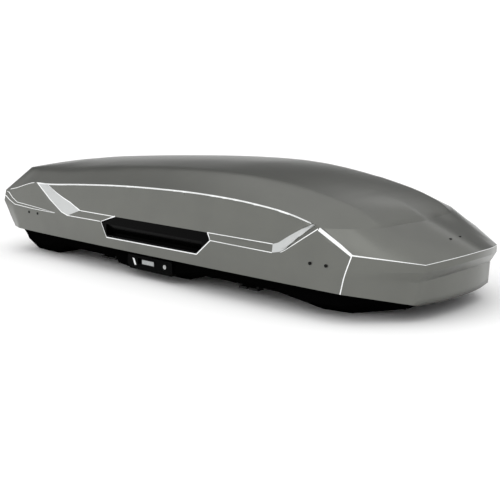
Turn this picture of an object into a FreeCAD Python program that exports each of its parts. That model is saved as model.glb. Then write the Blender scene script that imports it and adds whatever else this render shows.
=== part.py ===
# Roof cargo box: thermoformed lid and base that open from either side on open-topped hinge cradles,
# latch rods that lock the hinge pins, spring lifter arms, and four sliding clamps for the roof bars.
# Millimetres. +X is the pointed nose, +Y the left side, +Z up. Z = 0 is the underside of the base.
import FreeCAD, Part
import math, os
from FreeCAD import Vector

os.makedirs("parts", exist_ok=True)

# ---------------------------------------------------------------- driving sizes
LENGTH = 2330.0          # tip of the nose to the back of the tail
WIDTH = 918.0            # across the widest belt of the lid
HEIGHT = 480.0           # crown of the lid above the underside of the base
RIM = 112.0              # lower edge of the lid sides
LID_WALL = 4.0           # formed sheet
BASE_WALL = 4.0

PIN_RADIUS = 6.0         # hinge pins
RUNNING = 0.06           # radial play of every turning fit
SLIDE_GAP = 0.3          # play of the sliding pieces
SEAT_GAP = 0.2           # between a formed shell and the pieces fixed flat against it
HINGE_INSET = 21.0       # hinge pins in from the widest belt
HINGE_RISE = 16.0        # hinge pins above the rim
WALL_BEHIND = 12.0       # base wall behind the hinge pins
LATCH_TRAVEL = 26.0

BEAM_CLEAR = 0.5         # lid beam above the arm gliders
ARM_PIVOT_Y = 88.0       # lifter pivots, out from the middle line
GLIDER_RADIUS = 8.0

BAR_DEPTH = 60.0         # height of the two bar channels under the base
CLAMP_INSET = 91.0       # roof-bar clamps, in from the base wall
JAW_TRAVEL = 28.0
CLAMP_TRAVEL = 40.0

# The outlines below are drawn for these sizes and stretch with the driving ones.
DRAWN_LENGTH, DRAWN_WIDTH, DRAWN_RISE, DRAWN_WALL_Y = 2330.0, 918.0, 368.0, 426.0
length_scale = LENGTH / DRAWN_LENGTH
width_scale = WIDTH / DRAWN_WIDTH
rise_scale = (HEIGHT - RIM) / DRAWN_RISE
side_y = WIDTH / 2
hinge_y = side_y - HINGE_INSET
hinge_z = RIM + HINGE_RISE


# ---------------------------------------------------------------- small builders
def box(x0, x1, y0, y1, z0, z1):
    return Part.makeBox(x1 - x0, y1 - y0, z1 - z0, Vector(x0, y0, z0))


def rod_x(x0, x1, y, z, radius):
    return Part.makeCylinder(radius, x1 - x0, Vector(x0, y, z), Vector(1, 0, 0))


def rod_z(x, y, z0, z1, radius):
    return Part.makeCylinder(radius, z1 - z0, Vector(x, y, z0), Vector(0, 0, 1))


def plate_xz(outline, y0, y1, grow=0.0):
    points = [Vector(x, y0, z) for x, z in outline]
    face = Part.Face(Part.makePolygon(points + points[:1]))
    if grow:
        face = face.makeOffset2D(grow, 2)
    return face.extrude(Vector(0, y1 - y0, 0))


def plate_yz(outline, x0, x1):
    points = [Vector(x0, y, z) for y, z in outline]
    return Part.Face(Part.makePolygon(points + points[:1])).extrude(Vector(x1 - x0, 0, 0))


def plate_xy(outline, z0, z1):
    points = [Vector(x, y, z0) for x, y in outline]
    return Part.Face(Part.makePolygon(points + points[:1])).extrude(Vector(0, 0, z1 - z0))


def other_side(shape):
    return shape.mirror(Vector(0, 0, 0), Vector(0, 1, 0))


def save(name, *solids):
    pieces = [piece for solid in solids for piece in solid.Solids]
    shape = pieces[0] if len(pieces) == 1 else Part.makeCompound(pieces)
    shape.exportStep("parts/%s.step" % name)


def same(a, b):
    return a.distanceToPoint(b) < 1e-6


def in_line(points):
    first, last = points[0], points[-1]
    if same(first, last):
        return all(same(first, p) for p in points)
    way = (last - first).normalize()
    return all((p - first).cross(way).Length < 1e-6 for p in points)


def run_of(points, closes_at_middle):
    """One boundary run of a row: a straight edge, or a smooth curve through the stations."""
    if same(points[0], points[-1]):
        return None
    if in_line(points):
        return Part.makeLine(points[0], points[-1])
    curve = Part.BSplineCurve()
    if closes_at_middle:
        mirrored = [Vector(p.x, -p.y, p.z) for p in reversed(points[:-1])]
        curve.interpolate(points + mirrored)
        curve.segment(curve.FirstParameter, curve.parameter(points[-1]))
    else:
        curve.interpolate(points)
    return curve.toShape()


def patch(low_run, high_run, low, high):
    """The face between two runs, or nothing where they meet along their whole length."""
    if all(same(a, b) for a, b in zip(low, high)):
        return None
    corners = []
    for p in (low[0], low[-1], high[-1], high[0]):
        if not any(same(p, q) for q in corners):
            corners.append(p)
    if len(corners) < 3:
        return None
    if in_line(low) and in_line(high):
        normal = (corners[1] - corners[0]).cross(corners[2] - corners[0])
        if len(corners) == 3:
            if normal.Length < 1e-3:
                return None
            return Part.Face(Part.makePolygon(corners + corners[:1]))
        flat = abs((corners[3] - corners[0]).dot(normal)) / max(normal.Length, 1e-9) < 1e-5
        if flat:
            return Part.Face(Part.makePolygon(corners + corners[:1]))
    return Part.makeRuledSurface(low_run, high_run)


def skin(rows, runs, nose_run):
    """Closed solid from rows of stations (half the outline each) joined row to row."""
    faces = []
    for side in (-1, 1):
        laid = [[Vector(x, side * y, z) for x, y, z in row] for row in rows]
        for low, high in zip(laid, laid[1:]):
            for run in runs:
                a, b = low[run[0]:run[1] + 1], high[run[0]:run[1] + 1]
                face = patch(run_of(a, run == nose_run), run_of(b, run == nose_run), a, b)
                if face is not None:
                    faces.append(face)
    shell = Part.makeCompound(faces)
    for _ in range(2):      # the second pass closes the seams left on the middle line
        shell.sewShape(1e-3)
    solid = Part.Solid(shell.Shells[0])
    if solid.Volume < 0:
        solid.reverse()
    return solid


def inward(row, i):
    """Unit vector in plan from station i of an outline towards the inside of the box."""
    before = row[i - 1] if i > 0 else (row[1][0], -row[1][1], 0)
    after = row[i + 1] if i < len(row) - 1 else (row[-2][0], -row[-2][1], 0)
    along = Vector(after[0] - before[0], after[1] - before[1], 0).normalize()
    return Vector(along.y, -along.x, 0)


def moved_in(rows, outline, wall, weight):
    """Rows moved inwards by the wall; stations that coincide move together."""
    known, result = {}, []
    for name, row in rows:
        moved = []
        for i, (x, y, z) in enumerate(row):
            key = (round(x, 3), round(y, 3), round(z, 3))
            if key not in known:
                across, down = weight(name, i)
                way = inward(outline, i)
                known[key] = (x + way.x * across * wall,
                              0.0 if abs(y) < 1e-9 else y + way.y * across * wall,
                              z + down * wall)
            moved.append(known[key])
        result.append((name, moved))
    return result


def surface_y(solid, x, z, side):
    """Outermost Y of a solid on one side at a station and height."""
    probe = Part.makeLine(Vector(x, 0, z), Vector(x, side * WIDTH, z)).common(solid)
    return side * max(side * v.Point.y for v in probe.Vertexes)


# ---------------------------------------------------------------- lid shape
# Half outlines, station by station from the middle of the tail to the tip of the nose.
# Rows run upwards: rim, lip, fold, belt, shoulder, ridge, crown.
def lid_point(x, y, z):
    z_out = z if z <= RIM else RIM + (z - 112.0) * rise_scale
    return (x * length_scale, y * width_scale, z_out)


def lid_row(points):
    return [lid_point(*p) for p in points]


rim_row = lid_row([
    (-1130, 0, 112), (-1120, 412, 112), (-1060, 441, 112), (-952, 446, 112), (-845, 450, 112),
    (-605, 453, 112), (-325, 455, 112), (-65, 455, 112), (175, 455, 112), (435, 454, 112),
    (615, 452, 112), (886, 447, 112), (978.5, 347, 89), (1071, 247, 66), (1099, 125, 66), (1107, 0, 66)])
lip_row = lid_row([
    (-1150, 0, 165), (-1143, 424, 165), (-1075, 447, 165), (-952, 451, 165), (-845, 454, 165),
    (-605, 457, 165), (-325, 459, 165), (-65, 459, 165), (175, 459, 165), (435, 458, 165),
    (615, 456, 165), (894, 441, 165), (985.5, 343, 158), (1077, 245, 151), (1101, 125, 158), (1110, 0, 162)])
fold_row = lid_row([
    (-1160, 0, 190), (-1154, 430, 190), (-1085, 450, 190), (-952, 453, 190), (-845, 454, 190),
    (-605, 457, 190), (-325, 459, 190), (-65, 459, 190), (175, 459, 190), (435, 457, 190),
    (615, 454, 190), (899, 437, 190), (999, 343.5, 190), (1099, 250, 190), (1140, 128, 201), (1158, 0, 209)])
belt_row = lid_row([
    (-1165, 0, 240), (-1163, 438, 238), (-1095, 451, 245), (-952, 452, 248), (-845, 451, 250),
    (-605, 454, 251), (-325, 456, 252), (-65, 456, 253), (175, 456, 254), (435, 453, 254),
    (615, 446, 253), (909, 412, 251), (1005, 330, 234.5), (1101, 248, 218), (1145, 128, 231), (1165, 0, 238)])
shoulder_row = lid_row([
    (-1164, 0, 292), (-1160, 434, 288), (-1085, 431, 305), (-952, 421, 341), (-845, 421, 345),
    (-605, 417, 364), (-325, 415, 383), (-65, 415, 393), (175, 415, 396), (435, 409, 385),
    (615, 404, 364), (770, 400, 326), (843, 340, 324), (901, 238, 322), (920.5, 119, 323.5), (940, 0, 325)])
ridge_row = lid_row([
    (-1095, 0, 408), (-1085, 338, 395), (-1030, 352, 399), (-940, 353, 402), (-845, 352, 406),
    (-605, 342, 429), (-325, 325, 453), (-65, 305, 466), (175, 280, 469), (435, 252, 450),
    (615, 240, 423), (755, 240, 390), (832, 240, 360), (901, 238, 322), (920.5, 119, 323.5), (940, 0, 325)])
crown_row = lid_row([
    (-1095, 0, 408), (-1095, 0, 408), (-1025, 0, 416), (-940, 0, 427), (-845, 0, 436), (-605, 0, 455),
    (-325, 0, 471), (-65, 0, 479), (175, 0, 480), (435, 0, 464), (615, 0, 437), (755, 0, 403),
    (850, 0, 370), (940, 0, 325), (940, 0, 325), (940, 0, 325)])
lid_rows = [("rim", rim_row), ("lip", lip_row), ("fold", fold_row), ("belt", belt_row),
            ("shoulder", shoulder_row), ("ridge", ridge_row), ("crown", crown_row)]
nose_corner = 13
nose_run = (nose_corner, 15)
lid_runs = [(0, 1), (1, 2), (2, 11), (11, nose_corner), nose_run]


def lid_weight(name, i):
    """How far each row moves across and down for one wall thickness."""
    if i >= nose_corner and name in ("shoulder", "ridge", "crown"):
        return 0.0, -1.05
    if i >= nose_corner and name == "belt":
        return 0.9, -1.0
    return {"rim": (1.0, 0.0), "lip": (1.0, 0.0), "fold": (1.0, 0.0), "belt": (1.0, -0.15),
            "shoulder": (0.8, -0.7), "ridge": (0.3, -1.0), "crown": (0.0, -1.0)}[name]


def closed_below(rows, drop):
    """Carries the lowest row on down by drop, then closes it across to the middle line."""
    lowest = []
    for (x, y, z), (x_up, y_up, z_up) in zip(rows[0][1], rows[1][1]):
        share = drop / (z_up - z)
        lowest.append((x + (x - x_up) * share, y + (y - y_up) * share, z + (z - z_up) * share))
    middle = [(x, 0.0, z) for x, y, z in lowest]
    return [middle, lowest] + [row for _, row in rows[1:]]


lid_outer = skin(closed_below(lid_rows, 0.0), lid_runs, nose_run)
inner_rows = moved_in(lid_rows, belt_row, LID_WALL, lid_weight)
lid_inner = skin(closed_below(inner_rows, 4.0), lid_runs, nose_run)


def lining(block, inner, move):
    """The sheet of a block that lies against the inside of a shell; move sets its thickness."""
    seat = move * (SEAT_GAP / move.Length)
    return block.common(inner.translated(seat)).cut(inner.translated(move + seat))


# ---------------------------------------------------------------- base tray
# Three deep pods with two shallow channels between them where the roof bars cross.
base_top = hinge_z + 4.0
wall_y = hinge_y - WALL_BEHIND
clamp_y = wall_y - CLAMP_INSET


def base_row(points):
    return [(x * length_scale, y * wall_y / DRAWN_WALL_Y, z) for x, y, z in points]


bar = BAR_DEPTH
outline_xy = [(-1118, 0), (-1108, 392), (-1052, 414), (-980, 419), (-885, 421), (-760, 423), (-362, 426),
              (-338, 426), (0, 426), (165, 426), (560, 425), (700, 423), (850, 410), (1040, 215), (1085, 0)]
top_row = base_row([(x, y, base_top) for x, y in outline_xy])
wall_row = base_row([(x, y, 104) for x, y in outline_xy])
chine_row = base_row([
    (-1102, 0, 78), (-1094, 372, 72), (-1046, 398, 58), (-980, 404, 46), (-885, 414, 46),
    (-760, 423, bar + 20), (-362, 426, bar + 20), (-338, 426, 44), (0, 426, 44), (165, 426, bar + 20),
    (560, 425, bar + 20), (700, 418, 52), (850, 404, 56), (1032, 212, 90), (1076, 0, 94)])
floor_row = base_row([
    (-1071, 0, 0), (-1071, 322, 0), (-1050, 340, 0), (-975, 344, 0), (-885, 343, 0),
    (-760, 400, bar), (-362, 402, bar), (-338, 322, 0), (-13, 312, 0), (165, 402, bar),
    (560, 400, bar), (700, 305, 0), (815, 282, 0), (1005, 216, 37), (1012, 0, 37)])
base_rows = [("floor", floor_row), ("chine", chine_row), ("wall", wall_row), ("top", top_row)]
base_runs = [(i, i + 1) for i in range(len(top_row) - 1)]


def base_weight(name, i):
    return {"floor": (0.5, 1.0), "chine": (1.0, 0.5), "wall": (1.0, 0.0), "top": (1.0, 0.0)}[name]


def closed_both(rows, raised):
    """Closes a row stack across the middle line at the bottom and, raised a little, at the top."""
    high = [(x, y, z + raised) for x, y, z in rows[-1][1]]
    return ([[(x, 0.0, z) for x, y, z in rows[0][1]]] + [row for _, row in rows[:-1]]
            + [high, [(x, 0.0, z) for x, y, z in high]])


base_outer = skin(closed_both(base_rows, 0.0), base_runs, None)
base_inner = skin(closed_both(moved_in(base_rows, top_row, BASE_WALL, base_weight), 30.0), base_runs, None)
base_tray = base_outer.cut(base_inner)

clamp_x = {"front": 360.0 * length_scale, "rear": -500.0 * length_scale}
jaw_half = 50.0
slot_half = jaw_half + JAW_TRAVEL + CLAMP_TRAVEL + 4.0
jaw_width = 20.0
for middle_x in clamp_x.values():
    for side in (-1, 1):
        y = side * clamp_y
        slot = box(middle_x - slot_half, middle_x + slot_half, y - jaw_width / 2 - 1, y + jaw_width / 2 + 1,
                   bar - 5, bar + BASE_WALL + 5)
        base_tray = base_tray.cut(slot)

outer_loop = [(x, y) for x, y, z in top_row] + [(x, -y) for x, y, z in reversed(top_row[1:-1])]
inner_top = moved_in(base_rows, top_row, BASE_WALL, base_weight)[-1][1]
inner_loop = [(x, y) for x, y, z in inner_top] + [(x, -y) for x, y, z in reversed(inner_top[1:-1])]
rim_seal = plate_xy(outer_loop, base_top, base_top + 3.5).cut(plate_xy(inner_loop, base_top - 1, base_top + 5))

# Flat steel rails riveted along the inside of the base walls.
rail = lining(box(-640 * length_scale, 640 * length_scale, wall_y - 120, side_y, RIM - 6, RIM + 15), base_inner,
              Vector(0, -3.0, 0)).Solids[0]
save("base_stiffener_left", rail)
save("base_stiffener_right", other_side(rail))
save("rim_seal", rim_seal)

# ---------------------------------------------------------------- hinge cradles and latch rods
cradle_x = [-700.0 * length_scale, -30.0 * length_scale, 590.0 * length_scale]
guide_x = [-365.0 * length_scale, 280.0 * length_scale]
bore = PIN_RADIUS + RUNNING
rod_y0, rod_y1 = wall_y + 1.0, wall_y + 4.0
cradle_top = hinge_z + PIN_RADIUS
rod_z0, rod_z1 = cradle_top + SLIDE_GAP, cradle_top + 12.0
cradle_start, cradle_end = 12.0, 32.0        # from the lid arm, along the pin

cradle_wall = 3.2
cradle_reach = bore + cradle_wall
cradle_shape = [(wall_y - 8, hinge_z - cradle_reach), (hinge_y, hinge_z - cradle_reach), (hinge_y, hinge_z),
                (hinge_y + cradle_reach, hinge_z), (hinge_y + cradle_reach, cradle_top),
                (wall_y + 0.3, cradle_top), (wall_y + 0.3, base_top - 0.1), (wall_y - 8, base_top - 0.1)]
guide_shape = [(wall_y - 8, hinge_z - 12), (rod_y1 + 3, hinge_z - 12), (rod_y1 + 3, rod_z1 + 3.5),
               (rod_y0, rod_z1 + 3.5), (rod_y0, rod_z1 + SLIDE_GAP), (rod_y1 + SLIDE_GAP, rod_z1 + SLIDE_GAP),
               (rod_y1 + SLIDE_GAP, cradle_top), (wall_y + 0.3, cradle_top), (wall_y + 0.3, base_top - 0.1),
               (wall_y - 8, base_top - 0.1)]
cradles = []
for x in cradle_x:
    block = plate_yz(cradle_shape, x + cradle_start, x + cradle_end)
    block = block.fuse(rod_x(x + cradle_start, x + cradle_end, hinge_y, hinge_z, cradle_reach))
    block = block.cut(rod_x(x + 5, x + 40, hinge_y, hinge_z, bore))
    block = block.cut(box(x + 5, x + 40, hinge_y - bore, hinge_y + bore, hinge_z, hinge_z + 20))
    block = block.cut(box(x + 5, x + 40, hinge_y - 15, hinge_y + 15, cradle_top, cradle_top + 20))
    cradles.append(block.cut(base_outer).removeSplitter())
for x in guide_x:
    cradles.append(plate_yz(guide_shape, x, x + 18).cut(base_outer))
save("latch_cradles_left", *cradles)
save("latch_cradles_right", *[other_side(c) for c in cradles])

# One flat steel rod per side with a keeper finger welded on for each pin. As drawn the keepers stand
# clear of the pins; slid back by LATCH_TRAVEL they lie over them.
latch_rod = [box(cradle_x[0] + 20, cradle_x[2] + 56, rod_y0, rod_y1, rod_z0, rod_z1)]
for x in cradle_x:
    latch_rod.append(box(x + 36, x + 50, rod_y1, hinge_y + 5, rod_z0, rod_z0 + 5))
save("latch_rod_left", *latch_rod)
save("latch_rod_right", *[other_side(s) for s in latch_rod])

# ---------------------------------------------------------------- locks in the base sides
lock_x0, lock_x1 = -264.0 * length_scale, 18.0 * length_scale
lock_z0, lock_z1 = 38.0, 98.0
lock_face = wall_y + 13.0
lever_x = -129.0 * length_scale
lever_half = 40.0
key_x, key_z = -28.0 * length_scale, 72.0
lock_shape = [(lock_x0 + 6, lock_z1), (lock_x0, lock_z0 + 20), (lock_x0 + 16, lock_z0), (lock_x1 - 6, lock_z0),
              (lock_x1, lock_z0 + 8), (lock_x1 - 3, lock_z1)]
lock_seat = base_outer.translated(Vector(0, SEAT_GAP, 0))
lock_housing = plate_xz(lock_shape, wall_y - 10, lock_face).cut(lock_seat)
back_x0 = lever_x - lever_half - LATCH_TRAVEL - 14
back_x1 = lever_x + lever_half + 14
lock_housing = lock_housing.cut(box(back_x0, back_x1, wall_y - 12, lock_face - 5, lock_z0 + 4, lock_z1 + 5))
lock_housing = lock_housing.cut(box(lever_x - lever_half - LATCH_TRAVEL - 1, lever_x + lever_half + 1,
                                    wall_y, lock_face + 5, 62.5, 87.5))
key_bore = Part.makeCylinder(9.0 + RUNNING, 30, Vector(key_x, wall_y + 3.0, key_z), Vector(0, 1, 0))
lock_housing = lock_housing.cut(key_bore)
save("lock_housing_left", lock_housing)
save("lock_housing_right", other_side(lock_housing))

lever = box(lever_x - lever_half - 10, lever_x + lever_half + 10, rod_y1, lock_face - 5 - SLIDE_GAP, 58, 92)
lever = lever.fuse(box(lever_x - lever_half, lever_x + lever_half, rod_y1 + 1, lock_face + 2.5, 63, 87))
lever = lever.fuse(box(lever_x - 15, lever_x + 15, rod_y0 + 0.3, rod_y1 + 0.5, 58, rod_z0)).removeSplitter()
save("slide_lever_left", lever)
save("slide_lever_right", other_side(lever))
lever_plate = box(lever_x - lever_half + 3, lever_x + lever_half - 3, lock_face + 2.5, lock_face + 3.1, 66, 84)
save("lever_plate_left", lever_plate)
save("lever_plate_right", other_side(lever_plate))

key_cylinder = Part.makeCylinder(9.0, lock_face + 1.5 - wall_y - 3.3, Vector(key_x, wall_y + 3.3, key_z),
                                 Vector(0, 1, 0))
key_cylinder = key_cylinder.cut(box(key_x - 1.2, key_x + 1.2, lock_face - 4, lock_face + 5, key_z - 5, key_z + 5))
save("key_cylinder_left", key_cylinder)
save("key_cylinder_right", other_side(key_cylinder))

# ---------------------------------------------------------------- lid lifters, front and rear
# Each stand holds two crossing arms: one lifts when the left side opens, the other when the right
# side opens. The arm turns twice as far as the lid, so its glider stays under the lid's cross beam.
beam_x = {"front": 780.0 * length_scale, "rear": -922.0 * length_scale}
arm_reach = hinge_y - ARM_PIVOT_Y            # pivot to glider, and pivot to the hinge line
lifter_pin = 5.0
arm_half = 6.0
floor_z = BASE_WALL
stand_reach = ARM_PIVOT_Y + 24.0
web = 1.5
stand_half = 27.0
arm_near, arm_far = web + 2.5, web + 12.5    # across the stand, from its middle web
for place, x in beam_x.items():
    stand = box(x - stand_half, x + stand_half, -stand_reach, stand_reach, floor_z, floor_z + 3)
    for at in (x - stand_half + 4, x - web, x + stand_half - 7):
        stand = stand.fuse(box(at, at + 3, -stand_reach, stand_reach, floor_z, hinge_z + 7))
    pins = []
    for side in (-1, 1):
        y = side * ARM_PIVOT_Y
        near, far = (x - web, x + stand_half - 2) if side < 0 else (x - stand_half + 2, x + web)
        pins.append(rod_x(near, far, y, hinge_z, lifter_pin))
        stand = stand.cut(rod_x(near, far, y, hinge_z, lifter_pin))
    save("lifter_stand_" + place, stand.removeSplitter())
    save("lifter_pins_" + place, *pins)

    # the arm for the left-opening side pivots right of the middle and points left
    tip = -ARM_PIVOT_Y + arm_reach
    arm = box(x + arm_near, x + arm_far, -ARM_PIVOT_Y, tip, hinge_z - arm_half, hinge_z + arm_half)
    arm = arm.fuse(rod_x(x + arm_near, x + arm_far, -ARM_PIVOT_Y, hinge_z, GLIDER_RADIUS))
    arm = arm.cut(rod_x(x, x + 40, -ARM_PIVOT_Y, hinge_z, lifter_pin + RUNNING)).removeSplitter()
    glider = rod_x(x + arm_near - 2, x + arm_far + 2, tip, hinge_z, GLIDER_RADIUS)
    glider = glider.cut(arm)
    left_arm = [arm, glider]
    save("lifter_arm_left_" + place, *left_arm)
    centre = Vector(x, 0, hinge_z)
    save("lifter_arm_right_" + place, *[s.rotated(centre, Vector(0, 0, 1), 180) for s in left_arm])

# ---------------------------------------------------------------- lid shell and side grips
grip_outline = [lid_point(x, 0, z)[::2] for x, z in
                [(-411, 221), (-327, 250), (231, 251), (254, 224), (180, 161), (-376, 158)]]
grip_depth = 34.0
lid_shell = lid_outer.cut(lid_inner)
window = plate_xz(grip_outline, side_y - 40, side_y + 20)
lid_shell = lid_shell.cut(window).cut(other_side(window))

crease_z = lid_point(0, 0, 214)[2]
pocket_z = lid_point(0, 0, 168)[2]
grip = plate_xz(grip_outline, side_y - grip_depth, side_y + 20, -0.5).common(lid_outer)
scoop = plate_yz([(side_y + 20, crease_z), (side_y - 4, crease_z), (side_y - grip_depth + 9, pocket_z + 6),
                  (side_y - grip_depth + 9, pocket_z), (side_y + 20, pocket_z)],
                 grip_outline[0][0] + 34, grip_outline[3][0] - 44)
behind = plate_yz([(side_y - 60, pocket_z - 3), (side_y - grip_depth + 5.5, pocket_z - 3),
                   (side_y - grip_depth + 5.5, pocket_z + 7), (side_y - 7.5, crease_z + 2),
                   (side_y - 18, crease_z + 38), (side_y - 18, crease_z + 60), (side_y - 60, crease_z + 60)],
                  grip_outline[0][0], grip_outline[3][0])
# above the crease the face leans in, to meet the scallop pressed into the lid
lean = plate_yz([(side_y + 20, crease_z + 3), (side_y - 1.5, crease_z + 3), (side_y - 12.5, crease_z + 40),
                 (side_y + 20, crease_z + 40)], grip_outline[0][0] - 5, grip_outline[3][0] + 5)
inset = plate_xz(grip_outline, side_y - grip_depth - 1, side_y + 20, -4.0)
grip = grip.cut(scoop).cut(lean).cut(behind.common(inset))
# the flange behind the lid runs along the bottom and the ends only
low_half = box(grip_outline[0][0] - 20, grip_outline[3][0] + 20, side_y - 40, side_y + 20, 0, crease_z + 18)
flange = lining(plate_xz(grip_outline, side_y - 30, side_y + 20, 9.0), lid_inner, Vector(0, -3.0, 0))
flange = flange.cut(inset).common(low_half)
grip = grip.fuse(flange.Solids[0]).removeSplitter()
save("side_grip_left", grip)
save("side_grip_right", other_side(grip))

# ---------------------------------------------------------------- lid hinge arms, pins and side strips
strip_z0, strip_z1 = hinge_z + 8.0, hinge_z + 19.0
strip = lining(box(cradle_x[0] - 40, cradle_x[2] + 70, side_y - 160, side_y + 20, strip_z0, strip_z1),
               lid_inner, Vector(0, -2.5, 0)).Solids[0]
save("lid_strip_left", strip)
save("lid_strip_right", other_side(strip))
behind_strip = lid_inner.translated(Vector(0, -2.5 - SEAT_GAP - 0.1, 0))
lid_arm = 6.0
arms, pins = {}, []
for side, play in (("left", RUNNING), ("right", 0.0)):
    arms[side] = []
    for x in cradle_x:
        arm = plate_yz([(hinge_y - 2, hinge_z), (hinge_y + 9, hinge_z), (side_y + 20, strip_z0 + 1),
                        (side_y + 20, strip_z1 - 1), (hinge_y - 2, strip_z1 - 1)], x, x + lid_arm)
        arm = arm.common(behind_strip)
        arm = arm.fuse(rod_x(x, x + lid_arm, hinge_y, hinge_z, PIN_RADIUS + 3.5))
        arms[side].append(arm.cut(rod_x(x - 1, x + 10, hinge_y, hinge_z, PIN_RADIUS + play)).removeSplitter())
for x in cradle_x:
    pins.append(rod_x(x - 2, x + cradle_end + 2, hinge_y, hinge_z, PIN_RADIUS))
save("hinge_arms_left", *arms["left"])
save("hinge_arms_right", *[other_side(a) for a in arms["right"]])
save("hinge_pins_left", *pins)
save("hinge_pins_right", *[other_side(p) for p in pins])

# ---------------------------------------------------------------- lid cross beams
beam_z = hinge_z + GLIDER_RADIUS + BEAM_CLEAR
tab_z = lid_point(0, 0, 203)[2]
rivet_holes, rivets = [], []
rivet_pitch = 34.0
for place, x in beam_x.items():
    reach = wall_y - 22.0
    beam = box(x - 30, x + 30, -reach, reach, beam_z, beam_z + 3)
    for at in (x - 30, x + 27):
        beam = beam.fuse(box(at, at + 3, -reach, reach, beam_z, beam_z + 26))
    for side in (-1, 1):
        y0, y1 = sorted((side * (reach - 3), side * reach))
        beam = beam.fuse(box(x - 30, x + 30, y0, y1, beam_z, tab_z + 12))
        y0, y1 = sorted((side * (reach - 3), side * (side_y + 20)))
        seat = lid_inner.translated(Vector(0, -side * SEAT_GAP, 0))
        beam = beam.fuse(box(x - 30, x + 30, y0, y1, tab_z - 14, tab_z - 11).common(seat))
        y0, y1 = sorted((side * (side_y - 79), side * (side_y + 21)))
        flange = lining(box(x - 48, x + 48, y0, y1, tab_z - 14, tab_z + 12), lid_inner,
                        Vector(0, -side * 3.0, 0))
        beam = beam.fuse(flange)
        for dx in (-rivet_pitch, rivet_pitch):
            y = surface_y(lid_outer, x + dx, tab_z, side)
            shank = Part.makeCylinder(2.6, 14, Vector(x + dx, y + side * 1.0, tab_z), Vector(0, -side, 0))
            head = Part.makeCylinder(6.0, 3.0, Vector(x + dx, y + side * 2.0, tab_z), Vector(0, -side, 0))
            rivet_holes.append(shank)
            rivets.append(head.cut(lid_outer).fuse(shank).removeSplitter())
    for hole in rivet_holes:
        beam = beam.cut(hole)
    save("lid_beam_" + place, beam.removeSplitter())

# ---------------------------------------------------------------- nose bracket
nose_x = 1064.0 * length_scale
plate = lining(box(nose_x - 28, nose_x + 22, -60, 60, 150, 400), lid_inner, Vector(0, 0, -3.0))
top_plate = max(plate.Solids, key=lambda s: s.BoundBox.ZMax)
for y in (-32.0, 32.0):
    probe = Part.makeLine(Vector(nose_x, y, 100), Vector(nose_x, y, 500)).common(lid_outer)
    z = max(v.Point.z for v in probe.Vertexes)
    shank = rod_z(nose_x, y, z - 12, z - 0.5, 2.6)
    head = rod_z(nose_x, y, z - 4.0, z + 1.6, 6.0)
    rivet_holes.append(shank)
    rivets.append(head.cut(lid_outer).fuse(shank).removeSplitter())
    top_plate = top_plate.cut(shank)
save("nose_bracket", top_plate)
for hole in rivet_holes:
    lid_shell = lid_shell.cut(hole)
save("lid_rivets", *rivets)
save("lid_shell", lid_shell)

# ---------------------------------------------------------------- roof-bar clamps
# A carriage slides on two steel strips over each slot; turning its knob closes both jaws on the bar.
floor_top = bar + BASE_WALL
strip_top = floor_top + 4.0
carriage_x, carriage_y = 48.0, 32.0
carriage_z0, carriage_z1 = strip_top + 0.1, strip_top + 32.0
channel_z0, channel_z1 = carriage_z0 + 3.0, carriage_z0 + 17.0
foot_z0, foot_z1 = 28.0, 36.0
knob_z = carriage_z1 + SLIDE_GAP
tracks = []
for end, x in clamp_x.items():
    for side_name, side in (("left", 1), ("right", -1)):
        y = side * clamp_y
        for out in (-1, 1):
            inner_y, outer_y = sorted((y + out * (jaw_width / 2 + 3), y + out * (carriage_y - 2)))
            tracks.append(box(x - slot_half, x + slot_half, inner_y, outer_y, floor_top, strip_top))
        carriage = box(x - carriage_x, x + carriage_x, y - carriage_y, y + carriage_y, carriage_z0, carriage_z1)
        carriage = carriage.cut(box(x - 60, x + 60, y - jaw_width / 2 - SLIDE_GAP, y + jaw_width / 2 + SLIDE_GAP,
                                    carriage_z0 - 1, channel_z1 + SLIDE_GAP))
        carriage = carriage.cut(rod_z(x, y, channel_z1 + 3, carriage_z1 + 1, 8 + RUNNING))
        knob = rod_z(x, y, knob_z, knob_z + 20, 29).fuse(rod_z(x, y, channel_z1 + 3.3, knob_z + 1, 8))
        for i in range(6):
            turn = math.radians(60 * i + 30)
            knob = knob.cut(rod_z(x + 36 * math.cos(turn), y + 36 * math.sin(turn), knob_z - 1, knob_z + 22, 12))
        name = "clamp_%s_%s_" % (end, side_name)
        save(name + "carriage", carriage)
        save(name + "knob", knob.removeSplitter())
        for jaw_name, way in (("jaw_front", 1), ("jaw_rear", -1)):
            def span(a, b):
                return sorted((x + way * a, x + way * b))
            grip_run, stem_run, foot_run = span(4, jaw_half), span(jaw_half - 12, jaw_half), span(6, jaw_half)
            half = jaw_width / 2
            jaw = box(*grip_run, y - half, y + half, channel_z0, channel_z1)
            jaw = jaw.fuse(box(*stem_run, y - half, y + half, foot_z0, channel_z1))
            jaw = jaw.fuse(box(*foot_run, y - half - 8, y + half + 8, foot_z0, foot_z1))
            save(name + jaw_name, jaw.removeSplitter())
save("clamp_tracks", *tracks)
save("base_tray", base_tray)
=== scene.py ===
# Roof cargo box on a plain studio floor. Metres; +X is the pointed nose, +Y the left side, +Z up.
# The sheet lid is drawn here in full; every other piece keeps its built shape and gets its finish.
import math

import bmesh
import bpy
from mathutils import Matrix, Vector
from mathutils.geometry import delaunay_2d_cdt, intersect_point_line


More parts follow.
